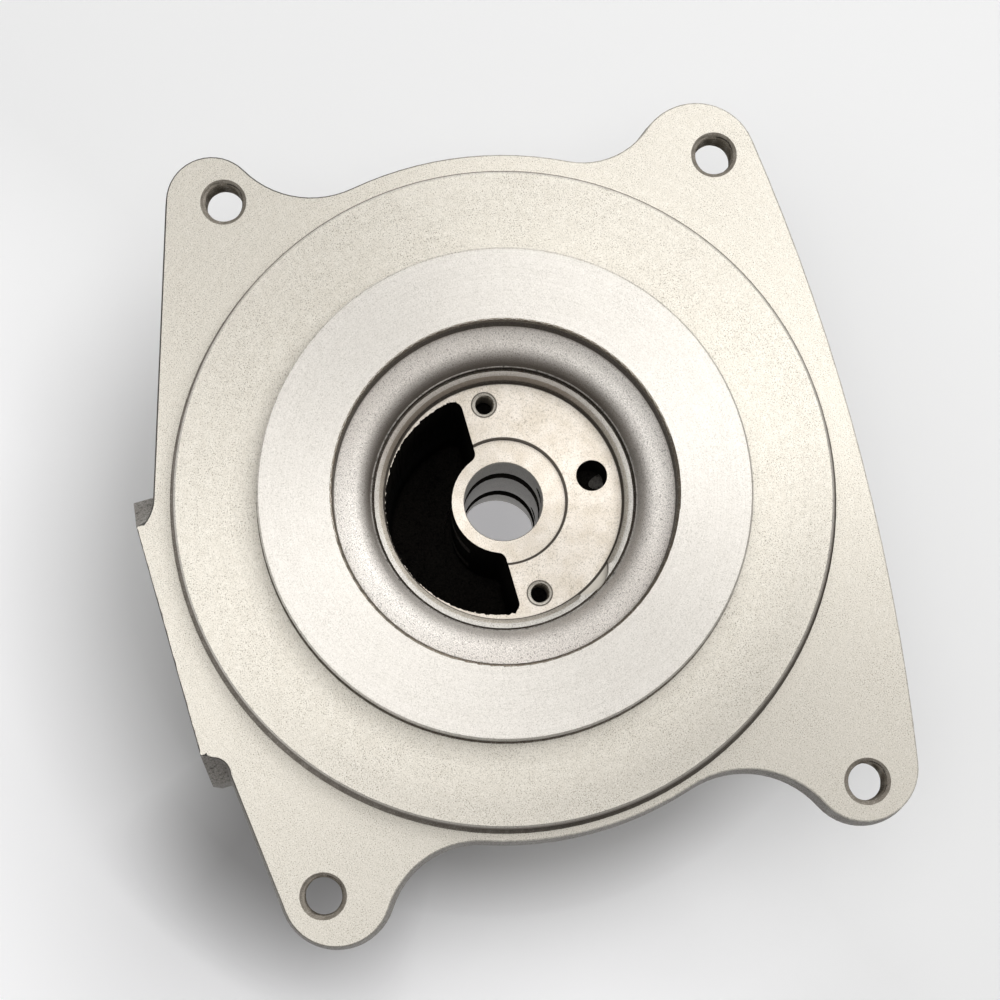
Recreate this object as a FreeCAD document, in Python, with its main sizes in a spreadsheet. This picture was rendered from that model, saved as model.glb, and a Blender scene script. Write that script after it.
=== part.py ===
import FreeCAD, Part
import math
import os
import Sketcher

# Bearing housing of a turbocharger: one iron casting, bare and machined, with the compressor's
# back flange and its four tapped lugs cast on.
# Lengths are millimetres. The shaft axis is Z, the origin is the mouth of the bearing bore, and +Z
# points to the compressor. The oil drain faces -Y and the oil inlet faces +Y.

sizes = {
    # Bearing bore: from its mouth down towards the turbine, with two oil reliefs between its lands
    "bore_radius": 7.3,
    "bore_length": 55.0,
    "bore_chamfer": 0.15,
    "relief_radius": 8.6,
    "relief_length": 7.0,
    "front_relief_depth": 15.0,
    "rear_relief_depth": 42.0,
    "tube_radius": 9.6,
    "window_width": 11.0,

    # Turbine end of the shaft line: oil chamber, then the bore that the seal ring runs in
    "chamber_radius": 11.0,
    "chamber_length": 5.0,
    "seal_radius": 8.5,
    "nose_radius": 15.0,
    "nose_length": 10.0,

    # Thrust seat: a shallow ring round the bore, the seat face, and the narrow rim round it
    "collar_radius": 11.6,
    "collar_depth": 0.8,
    "thrust_radius": 22.3,
    "rim_radius": 23.9,
    "rim_height": 3.4,
    "rim_groove_width": 0.45,
    "rim_groove_depth": 0.7,

    # Throat above the rim, the sunk ring round the throat, and the rounded lip of the front face
    "throat_radius": 24.6,
    "throat_mouth_radius": 26.3,
    "throat_step": 1.5,
    "throat_round": 3.5,
    "sunk_radius": 31.1,
    "sunk_depth": 5.6,
    "sunk_round": 0.5,
    "lip_round": 0.6,

    # Front face of the compressor side, its register disc, and the face of the lugs
    "front_height": 16.0,
    "front_radius": 44.8,
    "front_chamfer": 0.35,
    "register_height": 10.3,
    "register_radius": 60.5,
    "register_chamfer": 0.6,
    "foot_groove_width": 0.8,
    "foot_groove_depth": 0.5,
    "ring_groove_width": 0.4,
    "ring_groove_depth": 0.3,

    # Lug plate: outline on its machined face, widening to the back by its casting draft
    "lug_height": 5.5,
    "plate_thickness": 7.5,
    "plate_draft": 7.0,
    "plate_back_round": 1.2,
    "upper_rim_radius": 64.6,
    "lower_rim_radius": 62.7,
    "inlet_side_radius": 400.0,

    # The drain pad's crown in the plate's outline: it stands behind the drain face, and each side
    # runs through a hollow and over a soft bend into the long edge towards the next lug
    "crown_set_back": 1.0,
    "crown_left_corner": 0.4,
    "crown_left_hollow": 8.0,
    "left_bend_across": 3.7,
    "left_bend_depth": 7.4,
    "crown_right_reach": 1.2,
    "crown_right_corner": 1.6,
    "crown_right_hollow": 3.2,
    "right_bend_across": 5.0,
    "right_bend_depth": 7.3,
    "bend_radius": 3.0,

    # The four lugs: middle and radius of each tip, and the hollow beside it
    "lug_one_across": 65.9,
    "lug_one_out": 49.2,
    "lug_one_radius": 9.8,
    "lug_one_hollow": 19.0,
    "lug_two_across": -50.8,
    "lug_two_out": 52.6,
    "lug_two_radius": 11.2,
    "lug_two_hollow": 14.5,
    "lug_three_across": -68.6,
    "lug_three_out": -36.6,
    "lug_three_radius": 8.4,
    "lug_three_hollow": 17.7,
    "lug_four_across": 60.2,
    "lug_four_out": -49.3,
    "lug_four_radius": 9.9,
    "lug_four_hollow": 17.4,

    # Tapped holes of the lugs: middle of each, tapping radius, and the chamfer at both faces
    "hole_one_across": 68.4,
    "hole_one_out": 48.9,
    "hole_two_across": -51.1,
    "hole_two_out": 56.0,
    "hole_three_across": -67.8,
    "hole_three_out": -34.5,
    "hole_four_across": 60.3,
    "hole_four_out": -51.8,
    "lug_hole_radius": 3.4,
    "lug_hole_chamfer": 0.9,

    # Thrust plate screws and the oil feed to the thrust plate
    "screw_circle_radius": 18.4,
    "screw_turn": 5.0,
    "screw_hole_radius": 1.65,
    "screw_hole_depth": 10.0,
    "screw_hole_chamfer": 0.55,
    "feed_out": 17.1,
    "feed_radius": 2.9,
    "feed_depth": 15.0,
    "scallop_turn": 31.9,
    "scallop_out": 18.9,
    "scallop_radius": 5.15,
    "scallop_floor": 0.6,

    # Drain cavity round the drain side of the bearing tube, its outer wall shifted towards the drain
    "cavity_radius": 20.95,
    "cavity_shift": 1.15,
    "cavity_shoulder": 2.5,
    "cavity_corner": 1.9,
    "cavity_root": 1.6,
    "cavity_depth": 57.5,
    "cavity_floor_round": 1.2,

    # Body behind the plate: cone, neck and the turbine end's clamped flange with its pilot
    "cone_radius": 52.5,
    "neck_radius": 29.5,
    "neck_start": 17.0,
    "neck_end": 47.0,
    "neck_round": 14.0,
    "cast_blend": 2.0,
    "flange_start": 57.0,
    "flange_radius": 43.0,
    "flange_thickness": 7.5,
    "flange_round": 2.0,
    "pilot_radius": 37.0,
    "pilot_length": 6.5,
    "shield_radius": 31.5,
    "shield_depth": 8.0,
    "shield_round": 3.0,
    "turbine_chamfer": 0.8,

    # Drain boss with its flat pad, the funnel through it and its two tapped holes
    "drain_out": 66.2,
    "drain_across": 8.0,
    "drain_depth": 15.0,
    "drain_crown_width": 43.4,
    "drain_width": 55.0,
    "drain_shoulder_depth": 3.6,
    "drain_shoulder_round": 3.0,
    "drain_foot_depth": 35.0,
    "drain_foot_round": 10.0,
    "drain_pad_thickness": 17.0,
    "drain_pad_round": 2.0,
    "drain_duct_radius": 16.5,
    "drain_duct_root_radius": 19.0,
    "drain_duct_start": 58.0,
    "drain_duct_end": 12.0,
    "drain_hole_radius": 10.0,
    "drain_hole_run": 7.5,
    "funnel_start_depth": 6.0,
    "funnel_across": 4.0,
    "funnel_depth": 18.0,
    "funnel_radius": 13.0,
    "funnel_end": 15.0,
    "drain_screw_spacing": 39.0,
    "drain_screw_radius": 3.4,
    "drain_screw_depth": 13.0,
    "drain_screw_chamfer": 0.9,

    # Oil inlet boss, its tapped port and the two slanting drillings to the bearing lands
    "inlet_out": 46.0,
    "inlet_root": 22.0,
    "inlet_boss_radius": 13.0,
    "inlet_draft": 2.0,
    "inlet_port_radius": 5.4,
    "inlet_port_depth": 15.0,
    "inlet_port_chamfer": 1.0,
    "front_feed_depth": 7.5,
    "rear_feed_depth": 38.5,
    "drilling_radius": 1.6,
    "drilling_meeting": 39.0,
}

# Places that follow from the sizes, as formulas of the sheet
places = {
    "thrust_level": "collar_depth",
    "rim_level": "thrust_level + rim_height",
    "rim_groove_level": "rim_level - rim_groove_depth",
    "rim_groove_radius": "rim_radius + rim_groove_width",
    "throat_level": "rim_level + throat_step",
    "sunk_level": "front_height - sunk_depth",
    "foot_groove_radius": "register_radius + foot_groove_width",
    "foot_groove_level": "lug_height - foot_groove_depth",
    "ring_groove_radius": "front_radius + ring_groove_width",
    "ring_groove_level": "register_height - ring_groove_depth",
    "plate_back": "lug_height - plate_thickness",
    "front_relief_top": "-front_relief_depth",
    "front_relief_end": "-(front_relief_depth + relief_length)",
    "rear_relief_top": "-rear_relief_depth",
    "rear_relief_end": "-(rear_relief_depth + relief_length)",
    "bore_end": "-bore_length",
    "chamber_end": "-(bore_length + chamber_length)",
    "nose_end": "-(bore_length + chamber_length + nose_length)",
    "cavity_floor": "-cavity_depth",
    "cavity_length": "thrust_level + cavity_depth",
    "cavity_corner_along": "-(cavity_shoulder + cavity_corner)",
    "cavity_corner_rise": "cavity_shift + cavity_corner_along",
    "cavity_corner_across": "sqrt((cavity_radius - cavity_corner)^2 - cavity_corner_rise^2)",
    "cavity_root_along": "-(cavity_shoulder + cavity_root)",
    "cavity_root_across": "sqrt((tube_radius + cavity_root)^2 - cavity_root_along^2)",
    "neck_top": "-neck_start",
    "neck_foot": "-neck_end",
    "flange_top": "-flange_start",
    "flange_end": "-(flange_start + flange_thickness)",
    "pilot_end": "-(flange_start + flange_thickness + pilot_length)",
    "shield_level": "pilot_end + shield_depth",
    "window_half": "window_width / 2",
    "window_reach": "tube_radius + cavity_root",
    "screw_across": "screw_circle_radius * cos(screw_turn * 1deg)",
    "screw_out": "screw_circle_radius * sin(screw_turn * 1deg)",
    "scallop_across": "scallop_out * cos(scallop_turn * 1deg)",
    "scallop_along": "scallop_out * sin(scallop_turn * 1deg)",
    "scallop_depth": "rim_height - scallop_floor",
    "drain_level": "-drain_depth",
    "inlet_boss_length": "inlet_out - inlet_root",
    "drain_crown_left": "drain_across - drain_crown_width / 2",
    "drain_crown_right": "drain_across + drain_crown_width / 2",
    "drain_left": "drain_across - drain_width / 2",
    "drain_right": "drain_across + drain_width / 2",
    "drain_shoulder": "-drain_shoulder_depth",
    "drain_foot": "-drain_foot_depth",
    "drain_pad_back": "drain_pad_thickness - drain_out",
    "left_corner_across": "drain_crown_left + crown_left_corner",
    "left_corner_out": "crown_set_back + crown_left_corner - drain_out",
    "left_bend_middle": "drain_crown_left - left_bend_across",
    "left_bend_out": "left_bend_depth - drain_out",
    "right_corner_across": "drain_crown_right + crown_right_reach - crown_right_corner",
    "right_corner_out": "crown_set_back + crown_right_corner - drain_out",
    "right_bend_middle": "drain_crown_right + right_bend_across",
    "right_bend_out": "right_bend_depth - drain_out",
    "funnel_start": "drain_out - funnel_start_depth",
    "funnel_level": "-funnel_depth",
    "drain_screw_left": "drain_across - drain_screw_spacing / 2",
    "drain_screw_right": "drain_across + drain_screw_spacing / 2",
    "inlet_level": "-(front_feed_depth + rear_feed_depth) / 2",
    "drilling_rise": "(rear_feed_depth - front_feed_depth) / 2",
    "drilling_reach": "drilling_meeting - bore_radius",
    "front_drilling_lean": "atan(drilling_reach / drilling_rise) / 1deg",
    "rear_drilling_lean": "180 - front_drilling_lean",
    "drilling_length": "sqrt(drilling_reach^2 + drilling_rise^2) + drilling_radius",
}

# How near a length or place has to be to count as the same, how far beside an edge the iron is
# felt for, and the least angle in radians between two faces that makes a corner
nearness = 0.01
feeling = 0.05
corner_angle = 0.3

document = FreeCAD.newDocument("bearing_housing")
sheet = document.addObject("Spreadsheet::Sheet", "sizes")


def fill_sheet():
    """Each size and each place gets a row: its name, then the cell that carries the alias."""
    rows = [(name, str(size)) for name, size in sizes.items()]
    rows += [(name, "=" + formula) for name, formula in places.items()]
    for row, (name, content) in enumerate(rows, start=1):
        sheet.set("A%d" % row, name)
        sheet.set("B%d" % row, content)
        sheet.setAlias("B%d" % row, name)
    document.recompute()


def value_of(term):
    """A term is 0, the name of a size or place, or that name with a minus sign before it."""
    if term == 0:
        return 0.0
    if term.startswith("-"):
        return -sheet.get(term[1:])
    return sheet.get(term)


def bound(term):
    return "-sizes." + term[1:] if term.startswith("-") else "sizes." + term


fill_sheet()
body = document.addObject("PartDesign::Body", "bearing_housing")
body.Label = "bearing_housing"
body.Placement = FreeCAD.Placement()
origin_planes = {feature.Role: feature for feature in body.Origin.OriginFeatures}
volumes = [0.0]


def add_sketch(name, plane, offset=None):
    """A sketch on one of the body's own planes, moved along the plane's normal by a term."""
    sketch = body.newObject("Sketcher::SketchObject", name)
    sketch.AttachmentSupport = [(origin_planes[plane], "")]
    sketch.MapMode = "FlatFace"
    if offset:
        sketch.setExpression("AttachmentOffset.Base.z", bound(offset))
    return sketch


def hold(sketch, kind, *arguments):
    """A constraint whose last argument, a term, stays bound to the sheet."""
    geometry, term = arguments[:-1], arguments[-1]
    index = sketch.addConstraint(Sketcher.Constraint(kind, *geometry, value_of(term)))
    sketch.setExpression("Constraints[%d]" % index, bound(term))


def place_point(sketch, piece, end, across, along):
    """Holds one point of the sketch at two terms, or on an axis where a term is 0."""
    for kind, axis, term in (("DistanceX", -2, across), ("DistanceY", -1, along)):
        if term == 0:
            sketch.addConstraint(Sketcher.Constraint("PointOnObject", piece, end, axis))
        else:
            hold(sketch, kind, piece, end, term)


def draw_corners(sketch, corners):
    """A closed outline of straight sides; a corner with a third term is rounded by it."""
    points = [FreeCAD.Vector(value_of(corner[0]), value_of(corner[1]), 0) for corner in corners]
    count = len(corners)
    towards, away, arcs = [], [], []
    for place, corner in enumerate(corners):
        point = points[place]
        back = (points[place - 1] - point).normalize()
        ahead = (points[(place + 1) % count] - point).normalize()
        if len(corner) < 3:
            towards.append(point)
            away.append(point)
            arcs.append(None)
            continue
        radius = value_of(corner[2])
        half_angle = back.getAngle(ahead) / 2
        reach = radius / math.tan(half_angle)
        middle = point + (back + ahead).normalize() * (radius / math.sin(half_angle))
        towards.append(point + back * reach)
        away.append(point + ahead * reach)
        arcs.append((middle, radius, back.cross(ahead).z < 0))
    sides = []
    for place in range(count):
        side = Part.LineSegment(away[place], towards[(place + 1) % count])
        sides.append(sketch.addGeometry(side))
    for place, corner in enumerate(corners):
        before, after = sides[place - 1], sides[place]
        if arcs[place] is None:
            sketch.addConstraint(Sketcher.Constraint("Coincident", before, 2, after, 1))
            place_point(sketch, after, 1, corner[0], corner[1])
            continue
        middle, radius, left_turn = arcs[place]
        first, last = (towards[place], away[place]) if left_turn else (away[place], towards[place])
        arc = sketch.addGeometry(arc_between(middle, radius, first, last))
        start, finish = (1, 2) if left_turn else (2, 1)
        sketch.addConstraint(Sketcher.Constraint("Tangent", before, 2, arc, start))
        sketch.addConstraint(Sketcher.Constraint("Tangent", arc, finish, after, 1))
        hold(sketch, "Radius", arc, corner[2])
        tip = sketch.addGeometry(Part.Point(points[place]), True)
        sketch.addConstraint(Sketcher.Constraint("PointOnObject", tip, 1, before))
        sketch.addConstraint(Sketcher.Constraint("PointOnObject", tip, 1, after))
        place_point(sketch, tip, 1, corner[0], corner[1])


def arc_between(middle, radius, first, last):
    """The arc that runs anticlockwise from the first point to the last."""
    start = math.atan2(first.y - middle.y, first.x - middle.x)
    finish = math.atan2(last.y - middle.y, last.x - middle.x)
    if finish < start:
        finish += 2 * math.pi
    circle = Part.Circle(middle, FreeCAD.Vector(0, 0, 1), radius)
    return Part.ArcOfCircle(circle, start, finish)


def draw_circle(sketch, across, along, radius):
    middle = FreeCAD.Vector(value_of(across), value_of(along), 0)
    circle = Part.Circle(middle, FreeCAD.Vector(0, 0, 1), value_of(radius))
    piece = sketch.addGeometry(circle)
    place_point(sketch, piece, 3, across, along)
    hold(sketch, "Radius", piece, radius)


def turn(kind, name, corners):
    """A solid or a cut turned about the shaft axis from a profile of radius and height."""
    sketch = add_sketch(name + "_profile", "XZ_Plane")
    draw_corners(sketch, corners)
    feature = body.newObject("PartDesign::" + kind, name)
    feature.Profile = sketch
    feature.ReferenceAxis = (sketch, ["V_Axis"])
    feature.Angle = 360
    finish(feature)
    return feature


def finish(feature):
    """Makes the feature the body's last one: each has to add iron or take some away."""
    body.Tip = feature
    document.recompute()
    volumes.append(body.Shape.Volume)
    if abs(volumes[-1] - volumes[-2]) < nearness:
        raise RuntimeError("%s changes nothing" % feature.Label)


def meeting_point(first, first_reach, second, second_reach, side):
    """Where two circles cross: side is 1 for the point left of the way from first to second."""
    way = second - first
    along = (first_reach ** 2 - second_reach ** 2 + way.Length ** 2) / (2 * way.Length)
    aside = math.sqrt(first_reach ** 2 - along ** 2)
    unit = FreeCAD.Vector(way).normalize()
    left = FreeCAD.Vector(-unit.y, unit.x, 0)
    return first + unit * along + left * (aside * side)


def draw_rounds(sketch, rounds, links):
    """A closed outline that passes anticlockwise round each circle and is joined to the next one
    by a straight, a swell that bulges out, or a hollow that dips in, always tangent to both."""
    middles = [FreeCAD.Vector(value_of(across), value_of(along), 0) for across, along, _ in rounds]
    radii = [value_of(radius) for _, _, radius in rounds]
    arrivals, departures, link_arcs = {}, {}, []
    for place, (kind, term) in enumerate(links):
        after = (place + 1) % len(rounds)
        first, second = middles[place], middles[after]
        if kind == "straight":
            way = second - first
            unit = FreeCAD.Vector(way).normalize()
            right = FreeCAD.Vector(unit.y, -unit.x, 0)
            lean = (radii[place] - radii[after]) / way.Length
            outward = unit * lean + right * math.sqrt(1 - lean ** 2)
            departures[place] = first + outward * radii[place]
            arrivals[after] = second + outward * radii[after]
            link_arcs.append(None)
            continue
        bulges = kind == "swell"
        radius = value_of(term)
        reaches = [radius - own if bulges else radius + own for own in (radii[place], radii[after])]
        middle = meeting_point(first, reaches[0], second, reaches[1], 1 if bulges else -1)
        outward = -1 if bulges else 1
        departures[place] = first + (middle - first).normalize() * (radii[place] * outward)
        arrivals[after] = second + (middle - second).normalize() * (radii[after] * outward)
        link_arcs.append((middle, radius, bulges, term))
    pieces = []
    for place, (across, along, radius) in enumerate(rounds):
        arc = arc_between(middles[place], radii[place], arrivals[place], departures[place])
        index = sketch.addGeometry(arc)
        pieces.append((index, 1, 2))
        place_point(sketch, index, 3, across, along)
        hold(sketch, "Radius", index, radius)
        leave, arrive = departures[place], arrivals[(place + 1) % len(rounds)]
        if link_arcs[place] is None:
            pieces.append((sketch.addGeometry(Part.LineSegment(leave, arrive)), 1, 2))
            continue
        middle, link_radius, bulges, term = link_arcs[place]
        ends = (leave, arrive) if bulges else (arrive, leave)
        index = sketch.addGeometry(arc_between(middle, link_radius, *ends))
        pieces.append((index, 1, 2) if bulges else (index, 2, 1))
        hold(sketch, "Radius", index, term)
    for place, (index, start, _) in enumerate(pieces):
        before, _, before_end = pieces[place - 1]
        sketch.addConstraint(Sketcher.Constraint("Tangent", before, before_end, index, start))


def set_lengths(feature, **terms):
    for length, term in terms.items():
        feature.setExpression(length, bound(term))


def ring_edges(rings):
    """Names of the circular edges about the shaft axis at the given radii and heights."""
    wanted = [(value_of(radius), value_of(level)) for radius, level in rings]
    names = []
    for number, edge in enumerate(body.Shape.Edges, start=1):
        curve = edge.Curve
        if not isinstance(curve, Part.Circle):
            continue
        if math.hypot(curve.Center.x, curve.Center.y) > nearness:
            continue
        for radius, level in wanted:
            if abs(curve.Radius - radius) < nearness and abs(curve.Center.z - level) < nearness:
                names.append("Edge%d" % number)
    return names


def meets_inward(edge, faces):
    """True where the casting turns inward along an edge, as in the corner under a boss."""
    middle = edge.valueAt((edge.FirstParameter + edge.LastParameter) / 2)
    first, second = [face.normalAt(*face.Surface.parameter(middle)) for face in faces]
    if first.getAngle(second) < corner_angle:
        return False
    step = (first - second).normalize() * feeling
    return iron_at(middle + step) and iron_at(middle - step)


def iron_at(point):
    return body.Shape.isInside(point, body.Shape.getTolerance(1), False)


def edges_where(accept):
    """Names of the edges between two faces that a test on their middle and box accepts."""
    names = []
    for number, edge in enumerate(body.Shape.Edges, start=1):
        faces = body.Shape.ancestorsOfType(edge, Part.Face)
        if len(faces) == 2 and accept(edge, faces):
            names.append("Edge%d" % number)
    return names


def lies_flat(edge, level):
    """True where the whole edge is at one height."""
    return max(abs(edge.BoundBox.ZMin - level), abs(edge.BoundBox.ZMax - level)) < nearness


def dress(kind, name, size_name, size, names):
    """A rounding or a chamfer along the named edges."""
    base = body.Tip
    feature = body.newObject("PartDesign::" + kind, name)
    feature.Base = (base, names)
    feature.setExpression(size_name, bound(size))
    finish(feature)


turn("Revolution", "turned_body", [
    (0, "front_height"),
    ("front_radius", "front_height"),
    ("front_radius", "register_height"),
    ("register_radius", "register_height"),
    ("register_radius", "plate_back"),
    ("cone_radius", "plate_back"),
    ("neck_radius", "neck_top", "neck_round"),
    ("neck_radius", "neck_foot", "neck_round"),
    ("flange_radius", "flange_top", "flange_round"),
    ("flange_radius", "flange_end"),
    ("pilot_radius", "flange_end"),
    ("pilot_radius", "pilot_end"),
    (0, "pilot_end"),
])

outline = add_sketch("lug_outline", "XY_Plane", "lug_height")
draw_rounds(
    outline,
    [
        ("lug_one_across", "lug_one_out", "lug_one_radius"),
        ("lug_two_across", "lug_two_out", "lug_two_radius"),
        (0, 0, "upper_rim_radius"),
        ("lug_three_across", "lug_three_out", "lug_three_radius"),
        ("left_bend_middle", "left_bend_out", "bend_radius"),
        ("left_corner_across", "left_corner_out", "crown_left_corner"),
        ("right_corner_across", "right_corner_out", "crown_right_corner"),
        ("right_bend_middle", "right_bend_out", "bend_radius"),
        ("lug_four_across", "lug_four_out", "lug_four_radius"),
        (0, 0, "lower_rim_radius"),
    ],
    [
        ("swell", "inlet_side_radius"),
        ("hollow", "lug_two_hollow"),
        ("hollow", "lug_three_hollow"),
        ("straight", None),
        ("hollow", "crown_left_hollow"),
        ("straight", None),
        ("hollow", "crown_right_hollow"),
        ("straight", None),
        ("hollow", "lug_four_hollow"),
        ("hollow", "lug_one_hollow"),
    ],
)
plate = body.newObject("PartDesign::Pad", "lug_plate")
plate.Profile = outline
plate.Reversed = True
set_lengths(plate, Length="plate_thickness", TaperAngle="plate_draft")
finish(plate)


def on_plate_back(edge, faces):
    """The outer edge of the plate's back, without the circle where the cone meets it."""
    if not lies_flat(edge, value_of("plate_back")) or meets_inward(edge, faces):
        return False
    circle = isinstance(edge.Curve, Part.Circle)
    return not (circle and abs(edge.Curve.Radius - value_of("cone_radius")) < nearness)


dress("Fillet", "plate_back_edge", "Radius", "plate_back_round", edges_where(on_plate_back))

# The drain pad stands behind the plate, with its crown faced off level with the lugs
pad_outline = add_sketch("drain_pad_outline", "XZ_Plane", "drain_out")
draw_corners(pad_outline, [
    ("drain_crown_left", "lug_height"),
    ("drain_left", "drain_shoulder", "drain_shoulder_round"),
    ("drain_left", "drain_foot", "drain_foot_round"),
    ("drain_right", "drain_foot", "drain_foot_round"),
    ("drain_right", "drain_shoulder", "drain_shoulder_round"),
    ("drain_crown_right", "lug_height"),
])
drain_pad = body.newObject("PartDesign::Pad", "drain_pad")
drain_pad.Profile = pad_outline
drain_pad.Reversed = True
set_lengths(drain_pad, Length="drain_pad_thickness")
finish(drain_pad)


def drain_cone(kind, name, start, end, radii):
    """A round taper along the drain, from the middle of the hole to the root of the funnel."""
    near = ("drain_across", "-" + start, "drain_level")
    far = ("funnel_across", "-" + end, "funnel_level")
    first = FreeCAD.Vector(*[value_of(term) for term in near])
    last = FreeCAD.Vector(*[value_of(term) for term in far])
    cone = body.newObject("PartDesign::" + kind, name)
    cone.Placement = FreeCAD.Placement(first, FreeCAD.Rotation(FreeCAD.Vector(0, 0, 1), last - first))
    squares = []
    for axis, term, other in zip("xyz", near, far):
        cone.setExpression("Placement.Base." + axis, bound(term))
        squares.append("(%s - %s)^2" % (bound(other), bound(term)))
    cone.setExpression("Height", "sqrt(%s)" % " + ".join(squares))
    set_lengths(cone, Radius1=radii[0], Radius2=radii[1])
    finish(cone)


drain_cone("AdditiveCone", "drain_duct", "drain_duct_start", "drain_duct_end",
           ("drain_duct_radius", "drain_duct_root_radius"))

inlet_outline = add_sketch("inlet_boss_outline", "XZ_Plane", "-inlet_out")
draw_circle(inlet_outline, 0, "inlet_level", "inlet_boss_radius")
inlet_boss = body.newObject("PartDesign::Pad", "inlet_boss")
inlet_boss.Profile = inlet_outline
set_lengths(inlet_boss, Length="inlet_boss_length", TaperAngle="inlet_draft")
finish(inlet_boss)


def under_bosses(edge, faces):
    """The inward seams of the duct and of the inlet boss with the cone and the neck."""
    box = edge.BoundBox
    behind_plate = box.ZMax < value_of("plate_back") and box.ZMin > value_of("flange_top")
    clear_of_pad = box.YMin > value_of("drain_pad_back") + nearness
    clear_of_port = box.YMax < value_of("inlet_out") - nearness
    return behind_plate and clear_of_pad and clear_of_port and meets_inward(edge, faces)


dress("Fillet", "boss_blends", "Radius", "cast_blend", edges_where(under_bosses))


def round_pad_back(edge, faces):
    """The outer edge of the drain pad's back face, below the plate."""
    box, face = edge.BoundBox, value_of("drain_pad_back")
    on_face = max(abs(box.YMin - face), abs(box.YMax - face)) < nearness
    below_plate = box.ZMax < value_of("plate_back") - nearness
    return on_face and below_plate and not meets_inward(edge, faces)


dress("Fillet", "pad_back_edge", "Radius", "drain_pad_round", edges_where(round_pad_back))

# The machined front: throat, rim and thrust seat in one turned recess
turn("Groove", "front_recess", [
    (0, "front_height"),
    (0, "thrust_level"),
    ("thrust_radius", "thrust_level"),
    ("thrust_radius", "rim_level"),
    ("rim_radius", "rim_level"),
    ("rim_radius", "rim_groove_level"),
    ("rim_groove_radius", "rim_groove_level"),
    ("rim_groove_radius", "throat_level"),
    ("throat_radius", "throat_level"),
    ("throat_mouth_radius", "sunk_level", "throat_round"),
    ("sunk_radius", "sunk_level", "sunk_round"),
    ("sunk_radius", "front_height"),
])
turn("Groove", "ring_foot_groove", [
    ("front_radius", "register_height"),
    ("front_radius", "ring_groove_level"),
    ("ring_groove_radius", "ring_groove_level"),
    ("ring_groove_radius", "register_height"),
])
turn("Groove", "register_foot_groove", [
    ("register_radius", "lug_height"),
    ("register_radius", "foot_groove_level"),
    ("foot_groove_radius", "foot_groove_level"),
    ("foot_groove_radius", "lug_height"),
])

# Drain cavity: a half ring round the drain side of the bearing tube, open at the thrust seat
mouth = add_sketch("cavity_mouth", "XY_Plane", "thrust_level")
draw_rounds(
    mouth,
    [
        ("-cavity_corner_across", "cavity_corner_along", "cavity_corner"),
        ("cavity_corner_across", "cavity_corner_along", "cavity_corner"),
        ("cavity_root_across", "cavity_root_along", "cavity_root"),
        ("-cavity_root_across", "cavity_root_along", "cavity_root"),
    ],
    [
        ("swell", "cavity_radius"),
        ("straight", None),
        ("hollow", "tube_radius"),
        ("straight", None),
    ],
)
cavity = body.newObject("PartDesign::Pocket", "drain_cavity")
cavity.Profile = mouth
set_lengths(cavity, Length="cavity_length")
finish(cavity)


def on_cavity_floor(edge, faces):
    return lies_flat(edge, value_of("cavity_floor"))


dress("Fillet", "cavity_floor_edge", "Radius", "cavity_floor_round", edges_where(on_cavity_floor))

# The shaft line, from the thrust seat to the turbine end
turn("Groove", "shaft_line", [
    (0, "thrust_level"),
    ("collar_radius", "thrust_level"),
    ("collar_radius", 0),
    ("bore_radius", 0),
    ("bore_radius", "front_relief_top"),
    ("relief_radius", "front_relief_top"),
    ("relief_radius", "front_relief_end"),
    ("bore_radius", "front_relief_end"),
    ("bore_radius", "rear_relief_top"),
    ("relief_radius", "rear_relief_top"),
    ("relief_radius", "rear_relief_end"),
    ("bore_radius", "rear_relief_end"),
    ("bore_radius", "bore_end"),
    ("chamber_radius", "bore_end"),
    ("chamber_radius", "chamber_end"),
    ("seal_radius", "chamber_end"),
    ("seal_radius", "pilot_end"),
    (0, "pilot_end"),
])
turn("Groove", "shield_recess", [
    (0, "nose_end"),
    ("nose_radius", "nose_end"),
    ("nose_radius", "shield_level", "shield_round"),
    ("shield_radius", "shield_level", "shield_round"),
    ("shield_radius", "pilot_end"),
    (0, "pilot_end"),
])

# Windows from the bore's reliefs to the cavity
windows = add_sketch("drain_windows_outline", "XZ_Plane")
for top, end in (("front_relief_top", "front_relief_end"), ("rear_relief_top", "rear_relief_end")):
    draw_corners(windows, [
        ("-window_half", top),
        ("-window_half", end),
        ("window_half", end),
        ("window_half", top),
    ])
drain_windows = body.newObject("PartDesign::Pocket", "drain_windows")
drain_windows.Profile = windows
drain_windows.Reversed = True
set_lengths(drain_windows, Length="window_reach")
finish(drain_windows)

# The way out of the cavity: a funnel, then the round hole of the drain face
drain_cone("SubtractiveCone", "drain_funnel", "funnel_start", "funnel_end",
           ("drain_hole_radius", "funnel_radius"))

drain_mouth = add_sketch("drain_mouth", "XZ_Plane", "drain_out")
draw_circle(drain_mouth, "drain_across", "drain_level", "drain_hole_radius")
drain_hole = body.newObject("PartDesign::Pocket", "drain_hole")
drain_hole.Profile = drain_mouth
set_lengths(drain_hole, Length="drain_hole_run")
finish(drain_hole)


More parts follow.
